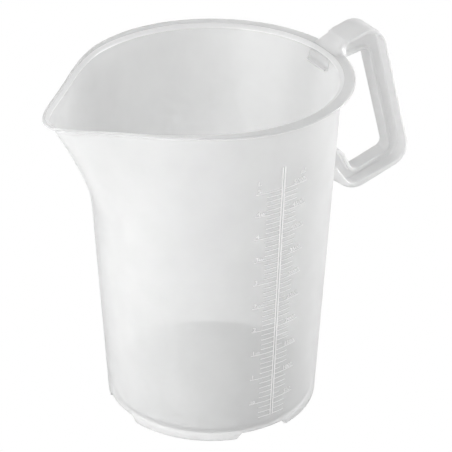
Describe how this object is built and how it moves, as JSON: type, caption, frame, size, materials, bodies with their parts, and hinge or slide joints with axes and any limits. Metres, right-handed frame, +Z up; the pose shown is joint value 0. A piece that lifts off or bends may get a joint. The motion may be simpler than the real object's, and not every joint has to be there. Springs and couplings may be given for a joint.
{
  "type": "graduated measuring jug",
  "caption": "Tall tapered measuring jug with a drawn spout, a hooked open handle and a raised volume scale.",
  "frame": {"origin": "on the body's axis, in the plane that the foot stands on", "axes": "+Z up along the body's axis, +X towards the handle, -X towards the spout, the volume scale on the -Y side"},
  "size_m": [0.3078, 0.2134, 0.286],
  "materials": {
    "natural_body": "satin, translucent undyed polypropylene",
    "natural_handle": "satin, translucent undyed polypropylene, thicker and so cloudier",
    "raised_scale": "satin, whitish raised moulding"
  },
  "bodies": {
    "root": {"jug_body": "natural_body", "handle": "natural_handle", "graduation_lines": "raised_scale", "litre_figures": "raised_scale", "millilitre_figures": "raised_scale"}
  },
  "joints": []
}
